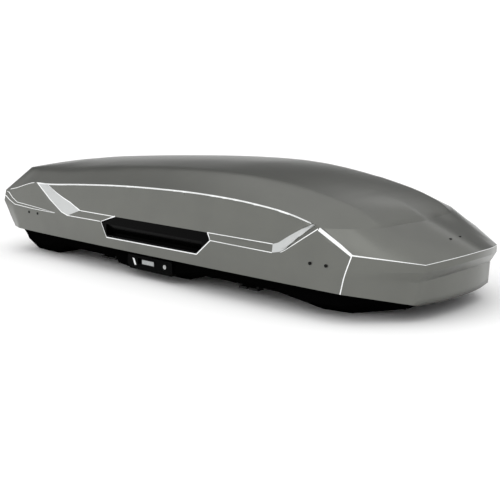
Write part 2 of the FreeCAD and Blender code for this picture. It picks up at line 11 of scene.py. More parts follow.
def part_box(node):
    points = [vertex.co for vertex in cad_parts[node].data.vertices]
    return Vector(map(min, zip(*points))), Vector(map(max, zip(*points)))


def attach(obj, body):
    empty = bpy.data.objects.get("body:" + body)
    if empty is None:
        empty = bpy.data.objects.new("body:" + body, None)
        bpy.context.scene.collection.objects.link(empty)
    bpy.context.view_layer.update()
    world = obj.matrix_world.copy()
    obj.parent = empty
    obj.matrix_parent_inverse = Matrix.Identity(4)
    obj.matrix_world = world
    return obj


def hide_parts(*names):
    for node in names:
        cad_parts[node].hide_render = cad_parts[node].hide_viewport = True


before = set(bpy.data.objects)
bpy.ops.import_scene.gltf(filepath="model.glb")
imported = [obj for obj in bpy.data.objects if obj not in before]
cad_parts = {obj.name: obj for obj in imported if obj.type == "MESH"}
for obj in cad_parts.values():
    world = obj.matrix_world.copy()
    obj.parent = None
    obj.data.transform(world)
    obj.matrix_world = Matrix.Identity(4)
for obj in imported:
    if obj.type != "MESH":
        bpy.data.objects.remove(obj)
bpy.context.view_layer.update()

# ------------------------------------------------------------------ base tray
# The lower half of the box, one sheet of black plastic drawn over a mould with three pods and long ribs.
# The sheet comes with a fine leather grain rolled into it, and its trimmed rim is folded up inside the lid.
MM = 0.001
WEAR = 83.33              # patches where handling has rubbed a surface a little smoother, mm across


def srgb(code, alpha=1.0):
    """A paint colour given as a hex code, in the linear numbers that the shader takes."""
    parts = [int(code[i:i + 2], 16) / 255 for i in (0, 2, 4)]
    return tuple(p / 12.92 if p <= 0.04045 else ((p + 0.055) / 1.055) ** 2.4 for p in parts) + (alpha,)


def add(material, kind, sockets=None, **settings):
    """Adds one node to a material; a socket takes either a plain value or another node's output."""
    made = material.node_tree.nodes.new(kind)
    for name, value in settings.items():
        setattr(made, name, value)
    for name, value in (sockets or {}).items():
        if isinstance(value, bpy.types.NodeSocket):
            material.node_tree.links.new(value, made.inputs[name])
        else:
            made.inputs[name].default_value = value
    return made


def finish_with(name, colour, **sockets):
    """A new material: its surface shader, ready to be given colour, gloss and relief."""
    material = bpy.data.materials.new(name)
    material.use_nodes = True
    shader = material.node_tree.nodes["Principled BSDF"]
    shader.inputs["Base Color"].default_value = srgb(colour)
    for socket, value in sockets.items():
        shader.inputs[socket.replace("_", " ")].default_value = value
    return material, shader


def dress(material, *nodes):
    """Gives built pieces their finish."""
    for name in nodes:
        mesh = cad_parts[name].data
        mesh.materials.clear()
        mesh.materials.append(material)


def moulded(name, colour, roughness, grain_size, depth, sheen=0.5):
    """Plastic with a grain of a given size in mm: a faint mottle, a soft relief and an uneven gloss."""
    material, shader = finish_with(name, colour, Specular_IOR_Level=sheen)
    place = add(material, "ShaderNodeTexCoord").outputs["Object"]
    grain = add(material, "ShaderNodeTexNoise", {"Vector": place, "Scale": 1.0 / (grain_size * MM),
                                                 "Detail": 3.0}).outputs["Fac"]
    rubbed = add(material, "ShaderNodeTexNoise", {"Vector": place, "Scale": 1.0 / (WEAR * MM),
                                                  "Detail": 2.0}).outputs["Fac"]
    lighter = [min(1.0, c * 1.8 + 0.0005) for c in srgb(colour)[:3]] + [1.0]
    tone = add(material, "ShaderNodeMix", {"Factor": grain, "A": srgb(colour), "B": lighter}, data_type="RGBA")
    gloss = add(material, "ShaderNodeMapRange", {"Value": rubbed, "To Min": roughness - 0.05,
                                                 "To Max": roughness + 0.07})
    relief = add(material, "ShaderNodeBump", {"Height": grain, "Strength": depth, "Distance": MM})
    links = material.node_tree.links
    links.new(tone.outputs["Result"], shader.inputs["Base Color"])
    links.new(gloss.outputs["Result"], shader.inputs["Roughness"])
    links.new(relief.outputs["Normal"], shader.inputs["Normal"])
    return material


# Leather grain keeps the black from shining. The real grain is nearer 1 mm; it is 3 mm here so that it shows.
grained_sheet = moulded("grained_black_sheet", "020202", 0.46, 3.0, 0.35, 0.0)
dress(grained_sheet, "base_tray")

# ------------------------------------------------------------------ rim seal
# A soft strip of black rubber foam, cut from a roll and pressed onto the folded rim of the base.
# The lid's edge closes around it and keeps spray out.
# Foamed rubber is dull and slightly pitted.
foam_rubber = moulded("black_foam_rubber", "030303", 0.70, 3.0, 0.2, 0.05)
dress(foam_rubber, "rim_seal")

# ------------------------------------------------------------------ floor stiffeners and clamp tracks
# Steel rails pressed from strip and riveted to the inside of the base, so that it carries its load on two bars.
# The tracks are slotted for the clamps, which slide along them to meet the car's own bars.
CLOUD = 40.0              # soft light and dark patches in the zinc, mm across


def plated(name, colour, roughness, spangle_size):
    """Plated metal: bright, faintly cloudy, its gloss broken up by crystals of a given size in mm."""
    material, shader = finish_with(name, colour, Metallic=1.0)
    place = add(material, "ShaderNodeTexCoord").outputs["Object"]
    spangle = add(material, "ShaderNodeTexVoronoi", {"Vector": place, "Scale": 1.0 / (spangle_size * MM)})
    cloud = add(material, "ShaderNodeTexNoise", {"Vector": place, "Scale": 1.0 / (CLOUD * MM), "Detail": 3.0})
    darker = [c * 0.7 for c in srgb(colour)[:3]] + [1.0]
    tone = add(material, "ShaderNodeMix", {"Factor": cloud.outputs["Fac"], "A": srgb(colour), "B": darker},
               data_type="RGBA")
    gloss = add(material, "ShaderNodeMapRange", {"Value": spangle.outputs["Distance"],
                                                 "To Min": roughness - 0.06, "To Max": roughness + 0.10})
    links = material.node_tree.links
    links.new(tone.outputs["Result"], shader.inputs["Base Color"])
    links.new(gloss.outputs["Result"], shader.inputs["Roughness"])
    return material


# Rolled strip shows cloudy zinc in patches about 6 mm across.
zinc_strip = plated("zinc_plated_strip", "A9ABAC", 0.34, 6.0)
dress(zinc_strip, "base_stiffener_left", "base_stiffener_right", "clamp_tracks")

# ------------------------------------------------------------------ bar clamps
# Four clamps bolt the box to the car's bars: a moulded carriage in the track, two hooked jaws under the bar,
# and a big knob inside the box that draws the jaws together. All are moulded in nylon with glass fibre.
# Glass-filled nylon is black and faintly silky. The knobs are grey, so that they are found in the dark box.
filled_nylon = moulded("glass_filled_nylon", "060606", 0.38, 4.0, 0.15, 0.2)
knob_nylon = moulded("grey_knob_nylon", "3C3E40", 0.40, 4.0, 0.1)
for end in ("front", "rear"):
    for side in ("left", "right"):
        clamp = "clamp_%s_%s" % (end, side)
        dress(filled_nylon, clamp + "_carriage", clamp + "_jaw_front", clamp + "_jaw_rear")
        dress(knob_nylon, clamp + "_knob")

# ------------------------------------------------------------------ latch rods, cradles and slides
# Each side has a steel rod that slides in moulded cradles on the base and hooks over the lid's strip.
# The slide behind the lock panel drives it.
# Drawn round bar: the same zinc, smoother and finer than on the strip.
zinc_rod = plated("zinc_plated_rod", "B4B6B7", 0.28, 4.0)
# The cradles are moulded in black with a satin face from a lightly blasted mould.
cradle_plastic = moulded("satin_black_cradles", "030303", 0.34, 4.0, 0.15, 0.05)
dress(zinc_rod, "latch_rod_left", "latch_rod_right")
dress(cradle_plastic, "latch_cradles_left", "latch_cradles_right", "slide_lever_left", "slide_lever_right")

# ------------------------------------------------------------------ lock panels
# Under the grip on each side a black moulded panel is screwed to the base. It carries the key cylinder, a light
# grey ribbed slide plate and a small slanted window that shows when the lid is shut fast.
# The panel is satin black; its fine spark-eroded texture only takes the shine off.
lock_plastic = moulded("satin_black_lock_panel", "010101", 0.40, 4.0, 0.15, 0.02)
dress(lock_plastic, "lock_housing_left", "lock_housing_right")

# The slide plate is light grey, with upright finger ribs 6 mm apart.
RIB_PITCH, RIB_DEPTH = 6.0, 2.0
BAND = 0.314              # at scale 1 a wave pattern repeats every 0.314 m
slide_grey = moulded("light_grey_slide", "8E9090", 0.40, 4.0, 0.1)
along = add(slide_grey, "ShaderNodeTexCoord").outputs["Object"]
ribs = add(slide_grey, "ShaderNodeTexWave", {"Vector": along, "Scale": BAND / (RIB_PITCH * MM)},
           bands_direction="X")
grooved = add(slide_grey, "ShaderNodeBump", {"Height": ribs.outputs["Fac"], "Strength": 0.9,
                                             "Distance": RIB_DEPTH * MM})
slide_face = slide_grey.node_tree.nodes["Principled BSDF"]
slide_grey.node_tree.links.new(grooved.outputs["Normal"], slide_face.inputs["Normal"])
dress(slide_grey, "lever_plate_left", "lever_plate_right")

# The key cylinder is turned brass with a satin nickel plate.
nickel = plated("satin_nickel", "C6C7C6", 0.30, 3.0)
dress(nickel, "key_cylinder_left", "key_cylinder_right")

# The window is a sliver of milky plastic let into the panel, its face just proud and its top leaning back.
WINDOW_LEAN, WINDOW_WIDTH, WINDOW_THICK, WINDOW_PROUD = 12.0, 11.0, 1.4, 0.4
WINDOW_LOW, WINDOW_HIGH, WINDOW_FROM_END = 18.0, 47.0, 34.0
WINDOW_ROUND = 0.3
milky = moulded("milky_window", "C8CACA", 0.35, 2.0, 0.05)


def new_piece(name, bm):
    """Turns a finished shape into a piece of the scene."""
    mesh = bpy.data.meshes.new(name)
    bm.to_mesh(mesh)
    bm.free()
    piece = bpy.data.objects.new(name, mesh)
    bpy.context.scene.collection.objects.link(piece)
    return piece


for side, out in (("left", 1), ("right", -1)):
    low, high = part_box("lock_housing_" + side)
    face_y = out * (high[1] if out > 0 else -low[1]) / MM
    rim = []
    for along_width, up in ((0, 0), (1, 0), (1, 0.9), (0, 1)):
        x = low[0] / MM + WINDOW_FROM_END + WINDOW_WIDTH * along_width + WINDOW_LEAN * (1 - up)
        rim.append((x, low[2] / MM + WINDOW_LOW + up * (WINDOW_HIGH - WINDOW_LOW)))
    window = bmesh.new()
    y_back, y_front = face_y + out * (WINDOW_PROUD - WINDOW_THICK), face_y + out * WINDOW_PROUD
    back = [window.verts.new(Vector((x, y_back, z)) * MM) for x, z in rim]
    front = [window.verts.new(Vector((x, y_front, z)) * MM) for x, z in rim]
    window.faces.new(front)
    window.faces.new(back[::-1])
    for i in range(4):
        window.faces.new([back[i], back[i - 3], front[i - 3], front[i]])
    bmesh.ops.bevel(window, geom=window.edges[:], offset=WINDOW_ROUND * MM, segments=2, affect="EDGES")
    bmesh.ops.recalc_face_normals(window, faces=window.faces)
    piece = new_piece("lock_window_" + side, window)
    piece.data.materials.append(milky)
    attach(piece, "base")

# ------------------------------------------------------------------ lifters
# Two stands of moulded plastic across the floor of the box hold the pins on which the folding arms swing.
# The arms are pressed steel; springs in the real box push the lid up through them.
# Talc-filled plastic: black, and a touch paler and duller than the lock panel.
stand_plastic = moulded("satin_black_stands", "050505", 0.42, 4.0, 0.2, 0.1)
dress(stand_plastic, "lifter_stand_front", "lifter_stand_rear")
# Pressed arms are plated after bending, so the zinc is cloudier than on the rods.
zinc_pressing = plated("zinc_plated_pressing", "9EA0A1", 0.38, 7.0)
dress(zinc_rod, "lifter_pins_front", "lifter_pins_rear")
for side in ("left", "right"):
    dress(zinc_pressing, "lifter_arm_%s_front" % side, "lifter_arm_%s_rear" % side)

# ------------------------------------------------------------------ hinges
# The lid opens from either side: along each edge a steel strip riveted inside the lid carries short arms, and
# their pins drop into the cradles on the base.
dress(zinc_pressing, "hinge_arms_left", "hinge_arms_right", "lid_strip_left", "lid_strip_right")
dress(zinc_rod, "hinge_pins_left", "hinge_pins_right")

# ------------------------------------------------------------------ lid beams and nose bracket
# Two pressed steel hat beams cross under the lid where the lifters push, and a bracket stiffens the nose.
# They are spot-welded to flanges that the rivets pass through.
dress(zinc_pressing, "lid_beam_front", "lid_beam_rear", "nose_bracket")

# ------------------------------------------------------------------ lid sheet: outline
# The lid is one sheet of plastic with a metallic film on its face, drawn down hot over a mould and trimmed
# along the rim. These are its half outlines in millimetres, from the middle of the tail to the tip of the nose.
rows = {
    "rim": [(-1132, 0, 112), (-1126, 420, 112), (-1060, 442, 112), (-952, 446, 112), (-845, 450, 112),
            (-605, 453, 112), (-325, 455, 112), (-65, 455, 112), (175, 455, 112), (435, 454, 112),
            (615, 452, 112), (886, 447, 112), (978.5, 347, 89), (1071, 247, 66), (1099, 125, 66), (1107, 0, 66)],
    "lip": [(-1150, 0, 165), (-1148, 430, 165), (-1075, 447, 165), (-952, 451, 165), (-845, 454, 165),
            (-605, 457, 165), (-325, 459, 165), (-65, 459, 165), (175, 459, 165), (435, 458, 165),
            (615, 456, 165), (894, 440, 165), (985.5, 343, 158), (1077, 245, 151), (1101, 125, 158),
            (1110, 0, 162)],
    "fold": [(-1160, 0, 190), (-1157, 434, 190), (-1085, 450, 190), (-952, 453, 190), (-845, 454, 190),
             (-605, 457, 190), (-325, 459, 190), (-65, 459, 190), (175, 459, 190), (435, 457, 190),
             (615, 454, 190), (899, 435, 190), (999, 343.5, 190), (1099, 250, 190), (1140, 128, 201),
             (1158, 0, 209)],
    "belt": [(-1165, 0, 240), (-1167, 448, 238), (-1095, 451, 245), (-952, 452, 248), (-845, 451, 250),
             (-605, 454, 251), (-325, 456, 252), (-65, 456, 253), (175, 456, 254), (435, 453, 254),
             (615, 446, 253), (909, 412, 251), (1005, 330, 234.5), (1101, 248, 218), (1145, 128, 231),
             (1165, 0, 238)],
    "shoulder": [(-1164, 0, 292), (-1163, 438, 288), (-1085, 431, 305), (-952, 421, 341), (-845, 421, 345),
                 (-605, 417, 364), (-325, 415, 383), (-65, 415, 393), (175, 415, 396), (435, 409, 385),
                 (615, 404, 364), (770, 400, 326), (843, 340, 324), (901, 238, 322), (920.5, 119, 323.5),
                 (940, 0, 325)],
    "ridge": [(-1095, 0, 408), (-1085, 338, 395), (-1030, 352, 399), (-940, 353, 402), (-845, 352, 406),
              (-605, 342, 429), (-325, 325, 453), (-65, 305, 466), (175, 280, 469), (435, 252, 450),
              (615, 240, 423), (755, 240, 390), (832, 240, 360), (901, 238, 322)],
    "crown": [(-1095, 0, 408), (-1095, 0, 408), (-1025, 0, 416), (-940, 0, 427), (-845, 0, 436),
              (-605, 0, 455), (-325, 0, 471), (-65, 0, 479), (175, 0, 480), (435, 0, 464),
              (615, 0, 437), (755, 0, 403), (850, 0, 370), (940, 0, 325)],
}
TAIL_CORNER, NOSE_EDGE, NOSE_CORNER, NOSE_TIP = 1, 11, 13, 15
# How many mesh steps lie between one station and the next, tail to nose.
steps_between = [14, 4, 7, 6, 12, 14, 13, 12, 13, 9, 12, 6, 6, 8, 8]
station_at = [sum(steps_between[:i]) for i in range(len(steps_between) + 1)]


def through(points, steps, closes_at_middle=False):
    """Even samples of a smooth curve through the points; closes_at_middle meets the middle plane squarely."""
    p = [Vector(q) for q in points]
    gaps = [max((b - a).length, 1e-6) for a, b in zip(p, p[1:])]
    ways = []
    for i in range(len(p)):
        if 0 < i < len(p) - 1:
            before, after = (p[i] - p[i - 1]) / gaps[i - 1], (p[i + 1] - p[i]) / gaps[i]
            ways.append((before * gaps[i] + after * gaps[i - 1]) / (gaps[i] + gaps[i - 1]))
        elif i == 0:
            ways.append((p[1] - p[0]) / gaps[0])
        else:
            ways.append(Vector((0, -1, 0)) if closes_at_middle else (p[-1] - p[-2]) / gaps[-1])
    out = []
    for i, n in enumerate(steps):
        for k in range(n):
            t = k / n
            out.append((2 * t ** 3 - 3 * t ** 2 + 1) * p[i] + (t ** 3 - 2 * t ** 2 + t) * gaps[i] * ways[i]
                       + (3 * t ** 2 - 2 * t ** 3) * p[i + 1] + (t ** 3 - t ** 2) * gaps[i] * ways[i + 1])
    return out + [p[-1]]


def sampled(row, runs):
    """A whole row as samples, smooth within each run of stations and sharp between runs."""
    out = []
    for first, last, squarely in runs:
        out = out[:-1] + through(row[first:last + 1], steps_between[first:last], squarely)
    return out


tail_and_side = [(0, 1, False), (1, 2, False), (2, NOSE_EDGE, False)]
lines = {}
for name in ("rim", "lip", "fold", "belt"):
    lines[name] = sampled(rows[name], tail_and_side + [(NOSE_EDGE, NOSE_CORNER, False),
                                                       (NOSE_CORNER, NOSE_TIP, True)])
lines["shoulder"] = sampled(rows["shoulder"], tail_and_side + [(NOSE_EDGE, NOSE_TIP, True)])
for name in ("ridge", "crown"):
    lines[name] = sampled(rows[name], [(0, 1, False), (1, 2, False), (2, NOSE_CORNER, False)])

# ------------------------------------------------------------------ lid sheet: pressed lines on the side
# Each side carries a long shallow scallop with a broad slanting flute at the back and a narrow one in front,
# a window for the grip, and a double line around the rear corner. Outlines are (x, z) in side view.
SCALLOP_DEPTH = 8.0
SHALLOW, DEEPENS = 0.45, 60.0   # share of that depth just under the shoulder, and how far down it is full, mm
REAR_STEP, REAR_FADES = 4.0, 130.0
WEDGE_DEPTH = 6.0         # where the front flute runs out toward the nose
TOP_EDGE = 7.0            # the rounded edge under the shoulder, its band painted as a bright highlight
LINE = 4.0                # width of the fine rounded edges, each painted as a bright highlight line
NOSE_LINE, V_LINE = 9.0, 12.0   # painted highlight lines: the upright one at the nose, and the broad one that climbs to the shoulder
scallop_outer = [(-930, 345), (-797, 277), (-700, 231), (-654, 220), (-420, 221), (248, 224), (572, 219),
                 (610, 227), (631, 241), (656, 267), (686, 295), (732, 341)]
scallop_inner = [(-846, 344), (-770, 309), (-712, 292), (-655, 278), (-574, 250), (-331, 250), (231, 251),
                 (567, 249), (591, 257), (633, 286), (675, 313), (713, 345)]
grip_window = [(-411, 221), (-327, 250), (231, 251), (254, 224), (180, 161), (-376, 158)]
rear_line_outer = [(-1163, 262), (-1150, 258), (-1120, 244), (-1074, 228), (-926, 222), (-754, 220)]
rear_line_inner = [(-1158, 281), (-1140, 277), (-1101, 256), (-1059, 239), (-926, 232), (-839, 226),
                   (-754, 221)]
front_panel_edge = [(612, 225), (632, 236), (659, 255), (695, 282), (748, 322)]


def at_x(line, x):
    """Where a sampled row stands at a given length along the side."""
    side = line[station_at[TAIL_CORNER]:station_at[NOSE_EDGE] + 1]
    for a, b in zip(side, side[1:]):
        if a.x <= x <= b.x:
            return a.lerp(b, (x - a.x) / max(b.x - a.x, 1e-9))
    return side[0] if x < side[0].x else side[-1]


def eased(heights, values, z):
    """Value at height z on a soft curve through the rows, with no kink at any of them."""
    k = max(i for i in range(len(heights) - 1) if i == 0 or z >= heights[i])
    slopes = [(values[i + 1] - values[i]) / (heights[i + 1] - heights[i]) for i in range(len(heights) - 1)]

    def lean(i):
        if i in (0, len(heights) - 1):
            return slopes[0 if i == 0 else -1]
        a, b = slopes[i - 1], slopes[i]
        return 0.5 * (a + b)
    span = heights[k + 1] - heights[k]
    t = min(max((z - heights[k]) / span, 0.0), 1.0)
    return ((2 * t ** 3 - 3 * t ** 2 + 1) * values[k] + (t ** 3 - 2 * t ** 2 + t) * span * lean(k)
            + (3 * t ** 2 - 2 * t ** 3) * values[k + 1] + (t ** 3 - t ** 2) * span * lean(k + 1))


def side_top(x):
    """The top edge of the side: the shoulder, then the line that falls to the nose."""
    if x <= rows["shoulder"][NOSE_EDGE][0]:
        return at_x(lines["shoulder"], x)
    low, high = (Vector(rows[n][NOSE_EDGE]) for n in ("belt", "shoulder"))
    return high.lerp(low, min((x - high.x) / (low.x - high.x), 1.0))


def side_y(x, z):
    """How far out the plain side stands, before anything is pressed into it."""
    marks = [at_x(lines[n], x) for n in ("rim", "lip", "fold", "belt")] + [side_top(x)]
    heights = [marks[0].z]
    for m in marks[1:]:
        heights.append(max(m.z, heights[-1] + 1.0))
    return eased(heights, [m.y for m in marks], z)


def gap_to(path, x, z):
    """Distance from a point to an open path."""
    point, best = Vector((x, z)), 1e9
    for a, b in zip(path, path[1:]):
        a, b = Vector(a), Vector(b)
        near, share = intersect_point_line(point, a, b)
        near = a if share < 0 else b if share > 1 else near
        best = min(best, (point - near).length)
    return best


def inside(outline, x, z):
    """True if a point lies within a closed outline."""
    odd = False
    for (x0, z0), (x1, z1) in zip(outline, outline[1:] + outline[:1]):
        if (z0 > z) != (z1 > z) and x < x0 + (x1 - x0) * (z - z0) / (z1 - z0):
            odd = not odd
    return odd


def below_top(path, drop):
    """The path, with the points that reach the shoulder set a fixed drop under it."""
    return [(x, min(z, side_top(x).z - drop)) for x, z in path]


def under_shoulder(x0, x1, drop, pitch=20):
    """A path along the side, a fixed drop under the shoulder."""
    count = max(2, int((x1 - x0) / pitch))
    stops = [x0 + (x1 - x0) * i / count for i in range(count + 1)]
    return [(x, side_top(x).z - drop) for x in stops]


outer_path = below_top(scallop_outer, 0.0)
inner_path = below_top(scallop_inner, TOP_EDGE)
inner_closed = inner_path + under_shoulder(inner_path[0][0], inner_path[-1][0], TOP_EDGE)[::-1][1:-1]
outer_closed = outer_path + under_shoulder(outer_path[0][0], outer_path[-1][0], 0.0)[::-1][1:-1]
rear_panel = rear_line_inner + [(-712, 230), (-944, 338)] + under_shoulder(-1130, -960, 4.0)[::-1]
front_wedge = [(612, 226), (631, 241), (656, 267), (686, 295), (730, 338), (748, 326)]
front_wedge += front_panel_edge[::-1][1:-1]


def sink(x, z):
    """Depth pressed in at a point of the side."""
    if inside(inner_closed, x, z):
        below = side_top(x).z - TOP_EDGE - z
        return SCALLOP_DEPTH * (SHALLOW + (1 - SHALLOW) * min(below / DEEPENS, 1.0))
    if inside(front_wedge, x, z):
        to_panel, to_flute = gap_to(front_panel_edge, x, z), gap_to(outer_path[7:], x, z)
        return WEDGE_DEPTH * to_panel / max(to_panel + to_flute, 1e-6)
    if inside(outer_closed, x, z):
        to_outer = gap_to(outer_path, x, z)
        to_inner = gap_to(inner_path, x, z)
        if side_top(x).z - z < TOP_EDGE and outer_path[0][0] < x < outer_path[-1][0]:
            to_outer = min(to_outer, side_top(x).z - z)
        return SCALLOP_DEPTH * to_outer / max(to_outer + to_inner, 1e-6)
    if inside(rear_panel, x, z):
        return REAR_STEP * max(0.0, 1.0 - gap_to(rear_line_inner, x, z) / REAR_FADES)
    if inside(rear_line_outer + rear_line_inner[::-1], x, z):
        to_outer, to_inner = gap_to(rear_line_outer, x, z), gap_to(rear_line_inner, x, z)
        return REAR_STEP * to_outer / max(to_outer + to_inner, 1e-6)
    return 0.0


def ribbon(path, width, tips=(1.0, 1.0)):
    """Closed outline of a band along a path; tips give its share of the width at each end."""
    left, right = [], []
    for i, p in enumerate(path):
        p = Vector(p)
        a, b = Vector(path[max(i - 1, 0)]), Vector(path[min(i + 1, len(path) - 1)])
        across = (b - a).normalized().orthogonal()
        share = tips[0] + (tips[1] - tips[0]) * i / (len(path) - 1)
        left.append(tuple(p + across * width * share / 2))
        right.append(tuple(p - across * width * share / 2))
    return left + right[::-1]


# Which finish each face of the sheet takes; the bright bands along the edges carry a painted highlight.
SKIN, PAINTED_HIGHLIGHT, PAINTED_LIT_FLUTE, INSIDE = 0, 1, 2, 3
window_edge = ribbon([(-328, 252), (-413, 221), (-378, 156), (181, 159), (257, 224), (233, 252)], LINE + 1)
highlight_bands = [
    ribbon(outer_path[:4], LINE), ribbon(inner_path[:5], LINE), ribbon(outer_path[3:5], LINE - 1),
    ribbon(inner_path[4:6], LINE - 1), ribbon(inner_path[6:8], LINE - 1), ribbon(outer_path[5:7], LINE - 1),
    ribbon(rear_line_outer, LINE, (1.2, 0.4)), ribbon(rear_line_inner, LINE, (1.0, 0.3)),
    ribbon(front_panel_edge, LINE, (0.5, 1.0)), window_edge,
    under_shoulder(outer_path[0][0] + 10, inner_path[-1][0], 0.5) +
    under_shoulder(outer_path[0][0] + 10, inner_path[-1][0], TOP_EDGE)[::-1],
    under_shoulder(-1128, -950, 0.4) + under_shoulder(-1128, -950, 3.2)[::-1],
    ribbon([(886, 112), (894, 165), (899, 190), (909, 251)], NOSE_LINE),
    ribbon([(907, 249), (752, 322)], V_LINE)]
flutes = [outer_path[:4] + inner_path[:5][::-1], inner_path[7:] + outer_path[6:][::-1]]

lid = bmesh.new()
zone = lid.faces.layers.int.new("zone")


def grid(rows_of_points, zones):
    """Joins rows of points, each as long as the next, into faces."""
    laid = [[lid.verts.new(Vector(p) * MM) for p in row] for row in rows_of_points]
    for k, (low, high) in enumerate(zip(laid, laid[1:])):
        for i in range(len(low) - 1):
            corners = [low[i], low[i + 1], high[i + 1], high[i]]
            face = lid.faces.new(corners)
            face[zone] = zones[k]


def between(low, high, count):
    """Rows from low to high, both ends in."""
    return [[a.lerp(b, k / count) for a, b in zip(low, high)] for k in range(count + 1)]


def part_of(name, first, last):
    return lines[name][station_at[first]:station_at[last] + 1]


# The plain side is cut into triangles along every pressed line, then set out to its depth.
LEVELS = ("rim", "lip", "fold", "belt", "shoulder")
LEVEL_STEPS = (4, 3, 5, 6)
PITCH, MARGIN = 15.0, 6.0                    # spacing of the loose points, and how near they come to the border
FIRST_X, LAST_X, FIRST_Z, LAST_Z = -1160.0, 910.0, 118.0, 392.0


def side_faces():
    bottom = part_of("rim", TAIL_CORNER, NOSE_EDGE)

    def column(station):
        out = []
        for low, high, n in zip(LEVELS, LEVELS[1:], LEVEL_STEPS):
            a, b = Vector(rows[low][station]), Vector(rows[high][station])
            out += [a.lerp(b, k / n) for k in range(n)]
        return out + [Vector(rows["shoulder"][station])]
    right, left = column(NOSE_EDGE), column(TAIL_CORNER)
    top = part_of("shoulder", TAIL_CORNER, NOSE_EDGE)
    around = bottom[:-1] + right[:-1] + top[::-1][:-1] + left[::-1][:-1]
    border = [(p.x, p.z) for p in around]
    flat = [Vector(p) for p in border]
    cuts = [(i, (i + 1) % len(border)) for i in range(len(border))]

    def cut(path, closed):
        start = len(flat)
        flat.extend(Vector(q) for q in path)
        cuts.extend((start + i, start + i + 1) for i in range(len(path) - 1))
        if closed:
            cuts.append((start + len(path) - 1, start))
    for band in highlight_bands + flutes + [grip_window]:
        cut(band, True)
    cut(outer_path, False)
    cut(inner_path, False)
    cut(rear_line_inner, False)
    cut(front_wedge, True)
    x, odd = FIRST_X, False
    while x < LAST_X:
        z = FIRST_Z + (PITCH / 2 if odd else 0)
        while z < LAST_Z:
            if inside(border, x, z) and gap_to(border + border[:1], x, z) > MARGIN:
                flat.append(Vector((x, z)))
            z += PITCH
        x, odd = x + PITCH, not odd
    verts, _, faces, origins, _, _ = delaunay_2d_cdt(flat, cuts, [], 0, 0.05, True)
    places = []
    for v, sources in zip(verts, origins):
        on_border = [s for s in sources if s < len(around)]
        if on_border:
            places.append(Vector(around[on_border[0]]))
        else:
            places.append(Vector((v.x, side_y(v.x, v.y) - sink(v.x, v.y), v.y)))
    made = [lid.verts.new(p * MM) for p in places]
    for face in faces:
        x = sum(verts[i].x for i in face) / len(face)
        z = sum(verts[i].y for i in face) / len(face)
        if not inside(border, x, z) or inside(grip_window, x, z):
            continue
        f = lid.faces.new([made[i] for i in face])
        f[zone] = SKIN
        # Faces inside the flutes take a lighter grey: painted light where the flutes catch it.
        if any(inside(flute, x, z) for flute in flutes):
            f[zone] = PAINTED_LIT_FLUTE
        # Faces in the bright bands take the near-white film: a painted highlight.
        if any(inside(band, x, z) for band in highlight_bands):
            f[zone] = PAINTED_HIGHLIGHT


side_faces()
for low, high, count in zip(LEVELS, LEVELS[1:], LEVEL_STEPS):
    grid(between(part_of(low, 0, TAIL_CORNER), part_of(high, 0, TAIL_CORNER), count), [SKIN] * count)

# The nose: a lower face set back under an overhanging brow, with a painted highlight along the edge where brow
# meets top.
NOSE_TOP_STEPS = 14
nose = {n: part_of(n, NOSE_EDGE, NOSE_TIP) for n in LEVELS}
for low, high, count in zip(LEVELS[:2], LEVELS[1:3], LEVEL_STEPS):
    grid(between(nose[low], nose[high], count), [SKIN] * count)
brow = [[a.lerp(b, share) for a, b in zip(nose["fold"], nose["belt"])] for share in (0, 0.3, 0.6, 0.925, 1)]
grid(brow, [SKIN, SKIN, SKIN, PAINTED_HIGHLIGHT])
grid(between(nose["belt"], nose["shoulder"], NOSE_TOP_STEPS), [SKIN] * NOSE_TOP_STEPS)

# The roof: a band leaning in from the shoulder to a soft ridge, then a shallow dome to the crown.
# ROUNDING is how often the ridge is averaged with its neighbours: not at all at the tail and toward the nose.
# FOOT_RISE is how far, in mm, the dome stands proud over its last FOOT_RUN columns before it drops to the nose.
BAND_STEPS, DOME_STEPS, TAIL_STEPS = 9, 16, 8
ROUNDING, COLUMNS_A_ROUND = 4, 16
FOOT_RISE, FOOT_RUN = 5.0, 14
roof_rows = []
for i in range(station_at[TAIL_CORNER], station_at[NOSE_CORNER] + 1):
    s, r, c = lines["shoulder"][i], lines["ridge"][i], lines["crown"][i]
    over = Vector((0.5 * (r.x + c.x), 0.5 * r.y, c.z))
    across = [s.lerp(r, k / BAND_STEPS) for k in range(BAND_STEPS)]
    for k in range(DOME_STEPS + 1):
        t = k / DOME_STEPS
        across.append((1 - t) ** 2 * r + 2 * t * (1 - t) * over + t * t * c)
    from_tail = (i - station_at[TAIL_CORNER]) // 2
    to_nose = (station_at[NOSE_EDGE] - i) // COLUMNS_A_ROUND
    for _ in range(max(0, min(ROUNDING, from_tail, to_nose))):
        between_ends = [(a + 2 * b + d) / 4 for a, b, d in zip(across, across[1:], across[2:])]
        across = [across[0]] + between_ends + [across[-1]]
    rise = FOOT_RISE * max(0.0, 1.0 - (station_at[NOSE_CORNER] - i - 1) / FOOT_RUN)
    across = [p + Vector((0, 0, rise * min(1.0, k / BAND_STEPS))) for k, p in enumerate(across)]
    if i == station_at[NOSE_CORNER]:
        across = [s] * BAND_STEPS + part_of("shoulder", NOSE_CORNER, NOSE_TIP)
    roof_rows.append(across)
grid(roof_rows, [SKIN] * (len(roof_rows) - 1))
grid(between(part_of("shoulder", 0, TAIL_CORNER), part_of("ridge", 0, TAIL_CORNER), TAIL_STEPS),
     [SKIN] * TAIL_STEPS)

# One half is done; its mirror image is welded to it along the middle.
WELD, SLIVER = 0.3, 0.05
bmesh.ops.remove_doubles(lid, verts=lid.verts, dist=WELD * MM)
half = lid.verts[:] + lid.edges[:] + lid.faces[:]
bmesh.ops.mirror(lid, geom=half, axis="Y", merge_dist=WELD * MM)
bmesh.ops.dissolve_degenerate(lid, dist=SLIVER * MM, edges=lid.edges)
bmesh.ops.recalc_face_normals(lid, faces=lid.faces)


lid_sheet = new_piece("lid_sheet", lid)
for face, value in zip(lid_sheet.data.polygons, lid_sheet.data.attributes["zone"].data):
    face.material_index = value.value

